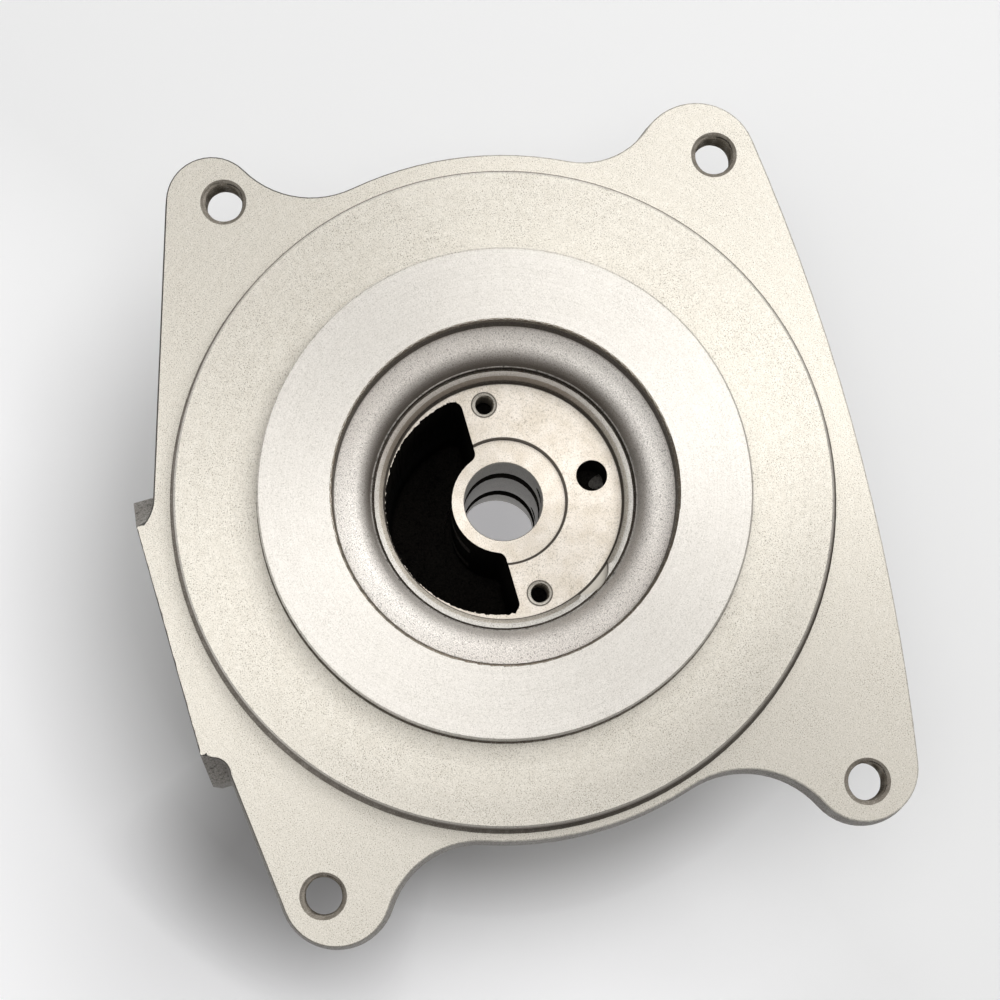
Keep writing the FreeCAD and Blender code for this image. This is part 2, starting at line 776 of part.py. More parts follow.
def tap(name, plane, offset, places, radius, chamfer, depth=None, reversed_way=False):
    """Tapped holes at their tapping size, each with a countersunk mouth."""
    sketch = add_sketch(name + "_middles", plane, offset)
    for across, along in places:
        draw_circle(sketch, across, along, radius)
    hole = body.newObject("PartDesign::Hole", name)
    hole.Profile = sketch
    hole.Reversed = reversed_way
    document.recompute()
    hole.Threaded = False
    hole.HoleCutType = "Countersink"
    hole.HoleCutCountersinkAngle = 90
    hole.DrillPoint = "Angled" if depth else "Flat"
    hole.DepthType = "Dimension" if depth else "ThroughAll"
    hole.setExpression("Diameter", "2 * " + bound(radius))
    hole.setExpression("HoleCutDiameter", "2 * (%s + %s)" % (bound(radius), bound(chamfer)))
    if depth:
        hole.setExpression("Depth", bound(depth))
    finish(hole)


tap("lug_holes", "XY_Plane", "lug_height", [
    ("hole_one_across", "hole_one_out"),
    ("hole_two_across", "hole_two_out"),
    ("hole_three_across", "hole_three_out"),
    ("hole_four_across", "hole_four_out"),
], "lug_hole_radius", "lug_hole_chamfer")
tap("screw_holes", "XY_Plane", "thrust_level", [
    ("screw_across", "screw_out"),
    ("-screw_across", "screw_out"),
], "screw_hole_radius", "screw_hole_chamfer", "screw_hole_depth")
tap("drain_screw_holes", "XZ_Plane", "drain_out", [
    ("drain_screw_left", "drain_level"),
    ("drain_screw_right", "drain_level"),
], "drain_screw_radius", "drain_screw_chamfer", "drain_screw_depth")
tap("inlet_port", "XZ_Plane", "-inlet_out", [
    (0, "inlet_level"),
], "inlet_port_radius", "inlet_port_chamfer", "inlet_port_depth", True)


def bore_down(name, offset, across, along, radius, depth):
    """A plain round pocket, straight down from a level."""
    sketch = add_sketch(name + "_outline", "XY_Plane", offset)
    draw_circle(sketch, across, along, radius)
    pocket = body.newObject("PartDesign::Pocket", name)
    pocket.Profile = sketch
    set_lengths(pocket, Length=depth)
    finish(pocket)


bore_down("thrust_feed", "thrust_level", 0, "feed_out", "feed_radius", "feed_depth")
bore_down("rim_scallop", "rim_level", "scallop_across", "scallop_along", "scallop_radius",
          "scallop_depth")


def drill(name, lean):
    """A slanting oil drilling that starts where both meet in the port and breaks into the bore."""
    cut = body.newObject("PartDesign::SubtractiveCylinder", name)
    base = FreeCAD.Vector(0, value_of("drilling_meeting"), value_of("inlet_level"))
    turned = FreeCAD.Rotation(FreeCAD.Vector(1, 0, 0), value_of(lean))
    cut.Placement = FreeCAD.Placement(base, turned)
    cut.setExpression("Placement.Base.y", bound("drilling_meeting"))
    cut.setExpression("Placement.Base.z", bound("inlet_level"))
    cut.setExpression("Placement.Rotation.Angle", bound(lean))
    set_lengths(cut, Radius="drilling_radius", Height="drilling_length")
    finish(cut)


drill("front_drilling", "front_drilling_lean")
drill("rear_drilling", "rear_drilling_lean")


def behind_lug_holes(edge, faces):
    """The rims of the lug holes on the back of the plate."""
    if not isinstance(edge.Curve, Part.Circle) or not lies_flat(edge, value_of("plate_back")):
        return False
    return abs(edge.Curve.Radius - value_of("lug_hole_radius")) < nearness


dress("Chamfer", "lug_hole_backs", "Size", "lug_hole_chamfer", edges_where(behind_lug_holes))
dress("Fillet", "front_lip", "Radius", "lip_round", ring_edges([("sunk_radius", "front_height")]))
dress("Chamfer", "front_edge", "Size", "front_chamfer",
      ring_edges([("front_radius", "front_height")]))
dress("Chamfer", "register_edge", "Size", "register_chamfer",
      ring_edges([("register_radius", "register_height")]))
dress("Chamfer", "bore_mouth", "Size", "bore_chamfer", ring_edges([("bore_radius", 0)]))
dress("Chamfer", "turbine_edges", "Size", "turbine_chamfer", ring_edges([
    ("flange_radius", "flange_end"),
    ("pilot_radius", "pilot_end"),
    ("nose_radius", "nose_end"),
    ("seal_radius", "nose_end"),
]))

for thing in document.Objects:
    if "Invalid" in thing.State or "Error" in thing.State:
        raise RuntimeError("%s: %s" % (thing.Label, ", ".join(thing.State)))
casting = body.Shape
if casting.isNull() or not casting.isValid() or len(casting.Solids) != 1:
    raise RuntimeError("the casting isn't one valid solid")
print("volume %.0f mm3" % casting.Volume)
os.makedirs("parts", exist_ok=True)
casting.exportStep("parts/%s.step" % body.Label)
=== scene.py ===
import math
import bpy
import numpy as np
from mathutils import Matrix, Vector, noise


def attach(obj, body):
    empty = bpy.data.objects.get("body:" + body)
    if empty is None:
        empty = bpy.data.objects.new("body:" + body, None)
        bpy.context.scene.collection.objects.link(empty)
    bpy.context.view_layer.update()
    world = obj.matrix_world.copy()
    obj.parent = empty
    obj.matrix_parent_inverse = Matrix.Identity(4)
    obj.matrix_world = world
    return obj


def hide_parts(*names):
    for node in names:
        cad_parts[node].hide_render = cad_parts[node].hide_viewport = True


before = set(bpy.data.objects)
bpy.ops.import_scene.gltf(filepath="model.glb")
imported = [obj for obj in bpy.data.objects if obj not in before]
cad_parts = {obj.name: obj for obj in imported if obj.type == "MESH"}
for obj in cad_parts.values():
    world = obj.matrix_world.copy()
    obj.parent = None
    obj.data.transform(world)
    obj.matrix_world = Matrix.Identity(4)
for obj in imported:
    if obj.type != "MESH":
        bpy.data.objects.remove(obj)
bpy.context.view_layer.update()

mm = 0.001
scene = bpy.context.scene
scene.view_settings.view_transform = "Standard"

# Camera, lamps and floor

studio = {
    "cameraPlace": (53.12, -27.76, 489.22),  # mm, nearly straight above the front face
    "cameraTurn": (6.885, -1.288, 73.6),     # degrees
    "lens": 95.4,
    "floorLevel": -71.03,                    # mm, just under the standing face
    "floorSize": 60.0,                       # m
    "lampSize": 650.0,                       # soft round lamps, about 1.15 m from the bore
    "lamps": {                               # place in mm, power in watts
        "overhead": ((0.0, 0.0, 1150.0), 3.5),
        "right": ((-114.0, 473.0, 1042.0), 3.4),
        "rightLow": ((-190.0, 791.0, 813.0), 2.2),
        "back": ((-662.0, 330.0, 881.0), 2.9),
        "near": ((-53.0, -352.0, 1094.0), 1.3),
    },
}


def addLamp(name, place, power):
    bpy.ops.object.light_add(type="AREA", location=Vector(place) * mm)
    lamp = bpy.context.object
    lamp.name = name
    lamp.data.shape = "DISK"
    lamp.data.size = studio["lampSize"] * mm
    lamp.data.energy = power
    lamp.rotation_euler = (-Vector(place)).to_track_quat("-Z", "Y").to_euler()


bpy.ops.object.select_all(action="DESELECT")
bpy.ops.object.camera_add(location=Vector(studio["cameraPlace"]) * mm,
                          rotation=[math.radians(a) for a in studio["cameraTurn"]])
scene.camera = bpy.context.object
scene.camera.data.lens = studio["lens"]
for name, (place, power) in studio["lamps"].items():
    addLamp(name + "Lamp", place, power)

bpy.ops.mesh.primitive_plane_add(size=studio["floorSize"], location=(0, 0, studio["floorLevel"] * mm))
floor = bpy.context.object
floor.name = "studio_floor"
print("camera, lamps and floor")


# Small helpers for the materials

def newMaterial(name):
    material = bpy.data.materials.new(name)
    material.use_nodes = True
    tree = material.node_tree
    shader = tree.nodes["Principled BSDF"]
    return material, tree, shader


def addNode(tree, kind, **values):
    node = tree.nodes.new(kind)
    for name, value in values.items():
        setattr(node, name, value)
    return node


def link(tree, source, target):
    tree.links.new(source, target)


def calculate(tree, operation, first, second=None, clamp=False):
    node = addNode(tree, "ShaderNodeMath", operation=operation, use_clamp=clamp)
    for socket, value in zip(node.inputs, (first, second)):
        if isinstance(value, (int, float)):
            socket.default_value = value
        elif value is not None:
            link(tree, value, socket)
    return node.outputs[0]


def noiseAt(tree, vector, size, detail, rough):  # size in mm
    node = addNode(tree, "ShaderNodeTexNoise")
    node.inputs["Scale"].default_value = 1.0 / (size * mm)
    node.inputs["Detail"].default_value = detail
    node.inputs["Roughness"].default_value = rough
    link(tree, vector, node.inputs["Vector"])
    return node.outputs["Fac"]


def ringNoise(tree, across, pitch):  # rings that follow each other at this pitch, in mm
    node = addNode(tree, "ShaderNodeTexNoise", noise_dimensions="1D")
    node.inputs["Scale"].default_value = 1.0 / (pitch * mm)
    node.inputs["Detail"].default_value = 1.0
    link(tree, across, node.inputs["W"])
    return node.outputs["Fac"]


def spread(tree, value, low, high, toLow=0.0, toHigh=1.0):
    node = addNode(tree, "ShaderNodeMapRange")
    node.inputs["From Min"].default_value = low
    node.inputs["From Max"].default_value = high
    node.inputs["To Min"].default_value = toLow
    node.inputs["To Max"].default_value = toHigh
    link(tree, value, node.inputs["Value"])
    return node.outputs["Result"]


def mixColour(tree, amount, first, second):
    node = addNode(tree, "ShaderNodeMix", data_type="RGBA")
    for socket, value in ((node.inputs[0], amount), (node.inputs[6], first), (node.inputs[7], second)):
        if isinstance(value, (int, float, tuple)):
            socket.default_value = value
        else:
            link(tree, value, socket)
    return node.outputs[2]


def addBump(tree, shader, height, strength, distance):
    node = addNode(tree, "ShaderNodeBump")
    node.inputs["Strength"].default_value = strength
    node.inputs["Distance"].default_value = distance * mm
    link(tree, height, node.inputs["Height"])
    link(tree, node.outputs["Normal"], shader.inputs["Normal"])


def seenDirectly(tree):  # 1 for the camera, gloss and glass, and 0 for light that falls on things
    path = addNode(tree, "ShaderNodeLightPath")
    seen = calculate(tree, "ADD", path.outputs["Is Camera Ray"], path.outputs["Is Glossy Ray"])
    return calculate(tree, "ADD", seen, path.outputs["Is Transmission Ray"], clamp=True)


def fromAxis(tree, place):  # the direction away from the bore's axis, and the distance from it
    flat = addNode(tree, "ShaderNodeVectorMath", operation="MULTIPLY")
    flat.inputs[1].default_value = (1, 1, 0)
    link(tree, place, flat.inputs[0])
    outward = addNode(tree, "ShaderNodeVectorMath", operation="NORMALIZE")
    link(tree, flat.outputs[0], outward.inputs[0])
    length = addNode(tree, "ShaderNodeVectorMath", operation="LENGTH")
    link(tree, flat.outputs[0], length.inputs[0])
    return outward.outputs[0], length.outputs["Value"]


def betweenRadii(tree, radius, radii, toLow=0.0, toHigh=1.0):  # radii in mm
    return spread(tree, radius, radii[0] * mm, radii[1] * mm, toLow, toHigh)


def towards(tree, outward, side, lean, toLow=0.0, toHigh=1.0):
    dot = addNode(tree, "ShaderNodeVectorMath", operation="DOT_PRODUCT")
    dot.inputs[1].default_value = side
    link(tree, outward, dot.inputs[0])
    return spread(tree, dot.outputs["Value"], *lean, toLow, toHigh)


def setShader(shader, look):
    shader.inputs["Metallic"].default_value = look["metallic"]
    shader.inputs["Anisotropic"].default_value = look["anisotropy"]
    shader.inputs["Specular IOR Level"].default_value = look["specular"]


# Machined iron: rings of tool marks, specks of graphite, faint clouds, and painted shade on one side and
# at the foot of steps

facedLook = {
    "colour": (0.600, 0.567, 0.503, 1), "metallic": 0.6, "anisotropy": 0.8, "specular": 0.5,
    "cloudSize": 1.1, "cloudRange": (0.35, 0.65), "cloudColour": (0.555, 0.520, 0.455, 1),
    "markPitch": 0.30, "markRange": (0.40, 0.62), "markShade": 0.12, "markAndShadeColour": (0.40, 0.375, 0.33, 1),
    "alongAxis": False,                      # True where the marks follow each other along z
    "bandPitch": 1.9, "bandRange": (0.42, 0.60), "bandShade": 0.06,
    "speckSize": 0.22, "speckFrom": 0.55, "speckSoft": 0.10, "speckShade": 0.85,
    "speckColour": (0.18, 0.165, 0.135, 1),
    "clusterSize": 9.0, "clusterRange": (0.40, 0.62), "clusterLeast": 0.7,
    "brightBelow": 0.42, "brightShade": 0.35, "brightColour": (0.80, 0.775, 0.72, 1),
    # painted shade: the plate is darker on one side beyond the register's middle
    "paintedPlateShade": 0.5, "nearSide": (1.0, 0.0, 0.0), "nearLean": (0.1, 0.9), "nearRadii": (49.0, 57.0),
    "scallopRadii": (), "scallopColour": (0.43, 0.40, 0.35, 1),
    # painted shade: thin dark lines at the foot of steps
    "footShadeLines": (), "lineHalf": 0.10, "lineSoft": 0.12, "lineShade": 0.97,      # radii and widths in mm
    "lineColour": (0.09, 0.075, 0.06, 1),
    "holeLines": (), "holeLineRange": (0.16, 0.34), "holeLineShade": 0.9,        # middles and radii in mm
    # painted shade: a brown darkening on one side
    "paintedShade": 0.0, "paintedShadeSide": (-1.0, -0.06, 0.0), "paintedShadeLean": (-0.1, 0.7),
    "paintedShadeColour": (0.13, 0.10, 0.075, 1),
    "rough": 0.44, "roughRange": (0.3, 0.7), "roughVary": 0.015,
    "bump": 0.08, "bumpReach": 0.05, "markHeight": 0.5, "speckHeight": 0.6,
}
frontLook = dict(facedLook, paintedPlateShade=0.0, colour=(0.602, 0.574, 0.533, 1),
                 cloudColour=(0.577, 0.549, 0.508, 1), speckShade=0.42, markShade=0.14)
seatLook = dict(facedLook, paintedPlateShade=0.0, colour=(0.63, 0.577, 0.510, 1),
                cloudColour=(0.545, 0.485, 0.405, 1), markShade=0.03, bandShade=0.0, speckShade=0.65,
                cloudSize=3.0, anisotropy=0.75, scallopRadii=(22.2, 22.25),
                # painted shade: dark lines at the foot of the collar and seat steps
                footShadeLines=(11.75, 22.2), lineHalf=0.19, lineColour=(0.022, 0.015, 0.009, 1),
                holeLines=(((18.33, 1.604, 0.8), 2.2), ((-18.33, 1.604, 0.8), 2.2)))
# the rim carries painted shade on one side
rimLook = dict(facedLook, paintedPlateShade=0.0, colour=(0.52, 0.50, 0.465, 1), cloudColour=(0.46, 0.44, 0.41, 1),
               markPitch=0.12, markShade=0.45, paintedShade=0.5)
wallLook = dict(facedLook, paintedPlateShade=0.0, colour=(0.60, 0.58, 0.53, 1), cloudColour=(0.54, 0.52, 0.47, 1),
                alongAxis=True, anisotropy=0.0, markPitch=0.25, rough=0.35)
# the rounded edge carries painted shade on one side and a painted dark line at its foot
edgeLook = dict(facedLook, colour=(0.78, 0.74, 0.67, 1), cloudColour=(0.70, 0.66, 0.59, 1), metallic=0.3,
                footShadeLines=(60.42,), lineColour=(0.20, 0.175, 0.15, 1),
                paintedShade=0.45, paintedShadeSide=(0.73, 0.69, 0.0), paintedShadeColour=(0.10, 0.085, 0.07, 1))
# the outline's bevel carries painted shade on one side
outlineLook = dict(edgeLook, colour=(0.60, 0.57, 0.51, 1), cloudColour=(0.42, 0.39, 0.34, 1),
                   footShadeLines=(), paintedPlateShade=0.0,
                   paintedShade=0.9, paintedShadeSide=(-0.37, -0.93, 0.0), paintedShadeColour=(0.03, 0.026, 0.022, 1))
# painted shade: the slope is darker than the rim, and darker still on one side
slopeLook = dict(rimLook, colour=(0.36, 0.325, 0.275, 1), cloudColour=(0.30, 0.27, 0.225, 1),
                 metallic=0.9, paintedShade=0.75)
# painted shade: near-black step walls and small hollows, where shade falls
shadedStepLook = dict(wallLook, colour=(0.085, 0.066, 0.050, 1), cloudColour=(0.060, 0.046, 0.034, 1),
                markAndShadeColour=(0.03, 0.025, 0.02, 1), metallic=0.0, rough=0.6, specular=0.12)
# the foot groove carries painted shade on one side
grooveLook = dict(shadedStepLook, colour=(0.36, 0.325, 0.285, 1), cloudColour=(0.26, 0.23, 0.20, 1),
                  metallic=0.8, specular=0.5,
                  paintedShade=0.85, paintedShadeSide=(0.73, 0.69, 0.0), paintedShadeColour=(0.045, 0.038, 0.03, 1))
# painted shade: a dark band at the foot of the front ring's step
footLook = dict(shadedStepLook, colour=(0.19, 0.16, 0.13, 1), cloudColour=(0.10, 0.08, 0.06, 1),
                metallic=0.4, specular=0.3)
# painted shade: the lip rolling down into the sunk ring is dark brown
lipLook = dict(wallLook, colour=(0.15, 0.122, 0.092, 1), cloudColour=(0.11, 0.088, 0.064, 1))
threadLook = dict(wallLook, colour=(0.27, 0.235, 0.19, 1), cloudColour=(0.18, 0.155, 0.12, 1),
                  metallic=0.7, rough=0.38)
# painted shade: near-black thread roots
rootLook = dict(threadLook, colour=(0.035, 0.028, 0.022, 1), cloudColour=(0.025, 0.020, 0.016, 1))
chamferLook = dict(wallLook, colour=(0.78, 0.74, 0.65, 1), cloudColour=(0.66, 0.61, 0.53, 1),
                   metallic=0.0, rough=0.5, markShade=0.35)
lugChamferLook = dict(chamferLook, colour=(0.33, 0.29, 0.24, 1), cloudColour=(0.20, 0.17, 0.135, 1),
                      metallic=0.3)


def turnedIron(name, look):
    material, tree, shader = newMaterial(name)
    place = addNode(tree, "ShaderNodeTexCoord").outputs["Object"]
    outward, radius = fromAxis(tree, place)
    if look["alongAxis"]:
        apart = addNode(tree, "ShaderNodeSeparateXYZ")
        link(tree, place, apart.inputs[0])
        across = apart.outputs["Z"]
    else:
        across = radius
        link(tree, outward, shader.inputs["Tangent"])
    marks = ringNoise(tree, across, look["markPitch"])
    bands = ringNoise(tree, across, look["bandPitch"])
    specks = noiseAt(tree, place, look["speckSize"], 2.0, 0.6)
    clouds = noiseAt(tree, place, look["cloudSize"], 3.0, 0.55)
    clusters = noiseAt(tree, place, look["clusterSize"], 2.0, 0.5)
    speckMask = calculate(tree, "MULTIPLY",
                          spread(tree, specks, look["speckFrom"], look["speckFrom"] + look["speckSoft"]),
                          spread(tree, clusters, *look["clusterRange"], look["clusterLeast"], 1.0))
    clouded = spread(tree, clouds, *look["cloudRange"])
    colour = mixColour(tree, clouded, look["colour"], look["cloudColour"])
    if look["paintedPlateShade"]:  # painted shade: the plate is darker beyond the register's middle, on one side
        side = towards(tree, outward, look["nearSide"], look["nearLean"])
        beyond = betweenRadii(tree, radius, look["nearRadii"], 0.0, look["paintedPlateShade"])
        colour = mixColour(tree, calculate(tree, "MULTIPLY", side, beyond), colour, look["markAndShadeColour"])
    marked = spread(tree, marks, *look["markRange"], 0.0, look["markShade"])
    colour = mixColour(tree, marked, colour, look["markAndShadeColour"])
    banded = spread(tree, bands, *look["bandRange"], 0.0, look["bandShade"])
    colour = mixColour(tree, banded, colour, look["markAndShadeColour"])
    bright = spread(tree, specks, look["brightBelow"], look["brightBelow"] - look["speckSoft"],
                    0.0, look["brightShade"])
    colour = mixColour(tree, bright, colour, look["brightColour"])
    specked = calculate(tree, "MULTIPLY", speckMask, look["speckShade"])
    colour = mixColour(tree, specked, colour, look["speckColour"])
    if look["scallopRadii"]:  # the oil feed's scallop, beyond the seat's edge
        beyond = betweenRadii(tree, radius, look["scallopRadii"])
        colour = mixColour(tree, beyond, colour, look["scallopColour"])
    for line in look["footShadeLines"]:  # painted shade: thin dark lines at the foot of a step
        off = calculate(tree, "ABSOLUTE", calculate(tree, "SUBTRACT", radius, line * mm))
        width = (look["lineHalf"], look["lineHalf"] + look["lineSoft"])
        drawn = betweenRadii(tree, off, width, look["lineShade"], 0.0)
        colour = mixColour(tree, drawn, colour, look["lineColour"])
    for middle, ring in look["holeLines"]:  # the outline of a chamfered hole
        fromHole = addNode(tree, "ShaderNodeVectorMath", operation="DISTANCE")
        fromHole.inputs[1].default_value = [value * mm for value in middle]
        link(tree, place, fromHole.inputs[0])
        width = [ring + value for value in look["holeLineRange"]]
        drawn = betweenRadii(tree, fromHole.outputs["Value"], width, look["holeLineShade"], 0.0)
        colour = mixColour(tree, drawn, colour, look["lineColour"])
    if look["paintedShade"]:  # painted shade: brown darkening on one side
        paintedDark = towards(tree, outward, look["paintedShadeSide"], look["paintedShadeLean"], 0.0, look["paintedShade"])
        colour = mixColour(tree, paintedDark, colour, look["paintedShadeColour"])
    link(tree, colour, shader.inputs["Base Color"])
    setShader(shader, look)
    rough = spread(tree, clouds, *look["roughRange"], look["rough"], look["rough"] + look["roughVary"])
    link(tree, rough, shader.inputs["Roughness"])
    raised = calculate(tree, "MULTIPLY", marks, look["markHeight"])
    unspecked = calculate(tree, "SUBTRACT", 1.0, speckMask)
    height = calculate(tree, "ADD", raised, calculate(tree, "MULTIPLY", unspecked, look["speckHeight"]))
    addBump(tree, shader, height, look["bump"], look["bumpReach"])
    return material


# Cast iron: grain, lumps and pits, and on the sunk ring a painted highlight and painted shade at the
# throat and on one side

sunkLook = {
    "colour": (0.815, 0.768, 0.718, 1), "metallic": 0.6, "anisotropy": 0.9, "specular": 0.5,
    "lumpSize": 4.0, "lumpRange": (0.35, 0.65), "lumpColour": (0.775, 0.728, 0.678, 1),
    "grainSize": 0.20, "grainRange": (0.40, 0.65), "grainShade": 0.70,
    "grainAndShadeColour": (0.31, 0.285, 0.25, 1),
    "pitSize": 0.24, "pitFrom": 0.60, "pitSoft": 0.06, "pitShade": 0.65,
    "pitAndShadeColour": (0.070, 0.052, 0.038, 1),
    # painted highlight along one line through the bore
    "brightShade": 0.62, "highlightSide": (0.23, -0.97, 0.0), "highlightLean": (0.55, 1.0),
    "brightColour": (0.99, 0.955, 0.905, 1),
    # painted shade towards the throat, strongest on one side
    "throatShade": 0.95, "throatRadii": (24.9, 27.3), "throatCurve": 1.35,
    "throatSide": (-1.0, -0.06, 0.0), "throatLean": (-0.75, 0.45), "throatLeast": 0.3,
    # painted shade: darker on one side
    "sideShadeLean": (-0.2, 0.9), "sideShadeAmount": 0.16,
    "rough": 0.5, "roughRange": (0.3, 0.7), "roughVary": 0.08,
    "bump": 0.17, "bumpReach": 0.35, "grainHeight": 0.45, "lumpHeight": 0.9, "pitDepth": 0.5,
}
skinLook = dict(sunkLook, brightShade=0.0, throatShade=0.0, anisotropy=0.0, metallic=0.1,
                colour=(0.38, 0.36, 0.33, 1), lumpSize=5.0, lumpColour=(0.30, 0.28, 0.253, 1),
                grainSize=0.36, grainShade=0.8, grainAndShadeColour=(0.13, 0.117, 0.10, 1),
                pitSize=0.55, pitShade=0.7, pitAndShadeColour=(0.05, 0.043, 0.036, 1), rough=0.65, bump=0.9)
# painted light: a lighter copy of the cast skin for the plate's sides
litSideLook = dict(skinLook, colour=(0.72, 0.69, 0.64, 1), lumpColour=(0.60, 0.57, 0.52, 1),
                grainAndShadeColour=(0.22, 0.20, 0.17, 1), grainShade=0.7)
# painted shade: the cast cavity and tube are near black
shadedInsideLook = dict(skinLook, colour=(0.014, 0.012, 0.010, 1), lumpColour=(0.008, 0.007, 0.006, 1),
                  grainAndShadeColour=(0.03, 0.026, 0.022, 1), pitAndShadeColour=(0.005, 0.0045, 0.004, 1), specular=0.08)


def castIron(name, look):
    material, tree, shader = newMaterial(name)
    place = addNode(tree, "ShaderNodeTexCoord").outputs["Object"]
    grain = noiseAt(tree, place, look["grainSize"], 4.0, 0.65)
    lumps = noiseAt(tree, place, look["lumpSize"], 3.0, 0.55)
    pits = noiseAt(tree, place, look["pitSize"], 2.0, 0.5)
    pitMask = spread(tree, pits, look["pitFrom"], look["pitFrom"] + look["pitSoft"])
    lumped = spread(tree, lumps, *look["lumpRange"])
    colour = mixColour(tree, lumped, look["colour"], look["lumpColour"])
    if look["brightShade"]:  # painted highlight: the sunk ring is lighter along one line through the bore
        along = addNode(tree, "ShaderNodeVectorMath", operation="DOT_PRODUCT")
        along.inputs[1].default_value = look["highlightSide"]
        link(tree, fromAxis(tree, place)[0], along.inputs[0])
        eitherWay = calculate(tree, "ABSOLUTE", along.outputs["Value"])
        shine = spread(tree, eitherWay, *look["highlightLean"], 0.0, look["brightShade"])
        colour = mixColour(tree, shine, colour, look["brightColour"])
    grained = spread(tree, grain, *look["grainRange"], 0.0, look["grainShade"])
    colour = mixColour(tree, grained, colour, look["grainAndShadeColour"])
    pitted = calculate(tree, "MULTIPLY", pitMask, look["pitShade"])
    colour = mixColour(tree, pitted, colour, look["pitAndShadeColour"])
    if look["throatShade"]:  # painted shade: the sunk ring darkens as it rolls over into the throat, most on one side
        outward, radius = fromAxis(tree, place)
        link(tree, outward, shader.inputs["Tangent"])
        shade = betweenRadii(tree, radius, look["throatRadii"], look["throatShade"], 0.0)
        side = towards(tree, outward, look["throatSide"], look["throatLean"], look["throatLeast"], 1.0)
        curved = calculate(tree, "POWER", shade, look["throatCurve"])
        colour = mixColour(tree, calculate(tree, "MULTIPLY", curved, side), colour, look["pitAndShadeColour"])
        # painted shade: the sunk ring darker on one side
        sideShade = towards(tree, outward, look["throatSide"], look["sideShadeLean"], 0.0, look["sideShadeAmount"])
        colour = mixColour(tree, sideShade, colour, look["grainAndShadeColour"])
    link(tree, colour, shader.inputs["Base Color"])
    setShader(shader, look)
    rough = spread(tree, grain, *look["roughRange"], look["rough"] - look["roughVary"],
                   look["rough"] + look["roughVary"])
    link(tree, rough, shader.inputs["Roughness"])
    raised = calculate(tree, "ADD", calculate(tree, "MULTIPLY", grain, look["grainHeight"]),
                       calculate(tree, "MULTIPLY", lumps, look["lumpHeight"]))
    height = calculate(tree, "SUBTRACT", raised, calculate(tree, "MULTIPLY", pitMask, look["pitDepth"]))
    addBump(tree, shader, height, look["bump"], look["bumpReach"])
    return material


finishes = {
    "frontFace": turnedIron("facedBright", frontLook),
    "faced": turnedIron("facedIron", facedLook),
    "seat": turnedIron("thrustSeat", seatLook),
    "rim": turnedIron("seatRim", rimLook),
    "slope": turnedIron("rimSlope", slopeLook),
    "wall": turnedIron("boredWall", wallLook),
    "step": turnedIron("paintedShadeStep", shadedStepLook),
    "groove": turnedIron("footGroove", grooveLook),
    "foot": turnedIron("ringFoot", footLook),
    "edge": turnedIron("roundedEdge", edgeLook),
    "outline": turnedIron("outlineEdge", outlineLook),
    "lip": turnedIron("roundedLip", lipLook),
    "sunk": castIron("sunkFloor", sunkLook),
    "skin": castIron("castSkin", skinLook),
    "side": castIron("plateSideLit", litSideLook),
    "inside": castIron("castInsideShade", shadedInsideLook),
    "thread": turnedIron("tappedThread", threadLook),
    "chamfer": turnedIron("holeChamfer", chamferLook),
    "lugChamfer": turnedIron("lugChamfer", lugChamferLook),
    "root": turnedIron("threadRoot", rootLook),
}
finishNames = list(finishes)
print("finishes")

# The casting is the solid's own mesh, merged

casting = bpy.data.objects.new("housing_casting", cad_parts["bearing_housing"].data.copy())
scene.collection.objects.link(casting)
bpy.ops.object.select_all(action="DESELECT")
casting.select_set(True)
bpy.context.view_layer.objects.active = casting
casting.data.materials.clear()
for name in finishNames:
    casting.data.materials.append(finishes[name])
bpy.ops.mesh.customdata_custom_splitnormals_clear()
bpy.ops.object.mode_set(mode="EDIT")
bpy.ops.mesh.select_all(action="SELECT")
bpy.ops.mesh.remove_doubles(threshold=0.001 * mm)
bpy.ops.object.mode_set(mode="OBJECT")
print("merged", len(casting.data.vertices), "points,", len(casting.data.polygons), "faces")


def selectEdges(wanted):
    bpy.ops.object.mode_set(mode="EDIT")
    bpy.context.tool_settings.mesh_select_mode = (False, True, False)
    bpy.ops.mesh.select_all(action="DESELECT")
    bpy.ops.object.mode_set(mode="OBJECT")
    casting.data.edges.foreach_set("select", [bool(wanted(edge)) for edge in casting.data.edges])
    bpy.ops.object.mode_set(mode="EDIT")


def endsOf(edge):
    return [casting.data.vertices[k].co for k in edge.vertices]


def fromBore(point):  # mm
    return point.xy.length / mm


def closeTo(value, wanted, reach=0.03):  # mm
    return abs(value - wanted) < reach


# The seat's rim slopes down to the seat on its inner side

rim = {"inner": 22.3, "level": 4.2, "slope": 0.75, "drop": 0.55}


def onRim(edge):
    return all(closeTo(fromBore(end), rim["inner"]) and closeTo(end.z / mm, rim["level"])
               for end in endsOf(edge))


selectEdges(onRim)
bpy.ops.mesh.bevel(offset=rim["slope"] * mm, offset_type="OFFSET", segments=1, affect="EDGES")
bpy.ops.object.mode_set(mode="OBJECT")
lowered = rim["level"] - rim["slope"]
for vertex in casting.data.vertices:
    if closeTo(fromBore(vertex.co), rim["inner"]) and closeTo(vertex.co.z / mm, lowered):
        vertex.co.z = (rim["level"] - rim["drop"]) * mm
print("rim sloped", len(casting.data.polygons), "faces")

# The plate's outline has a fine bevelled edge, where the cast side meets the faced top; its finish
# carries painted shade on one side

outline = {"level": 5.5, "edge": 0.22, "from": 61.9, "holesClear": 6.0,
           "holes": ((68.4, 48.9), (-51.1, 56.0), (-67.8, -34.5), (60.3, -51.8))}
topFaces, sideFaces = set(), set()
for face in casting.data.polygons:
    if face.normal.z > 0.98 and closeTo(face.center.z / mm, outline["level"], 0.05):
        topFaces.update(face.edge_keys)
    elif abs(face.normal.z) < 0.5:
        sideFaces.update(face.edge_keys)


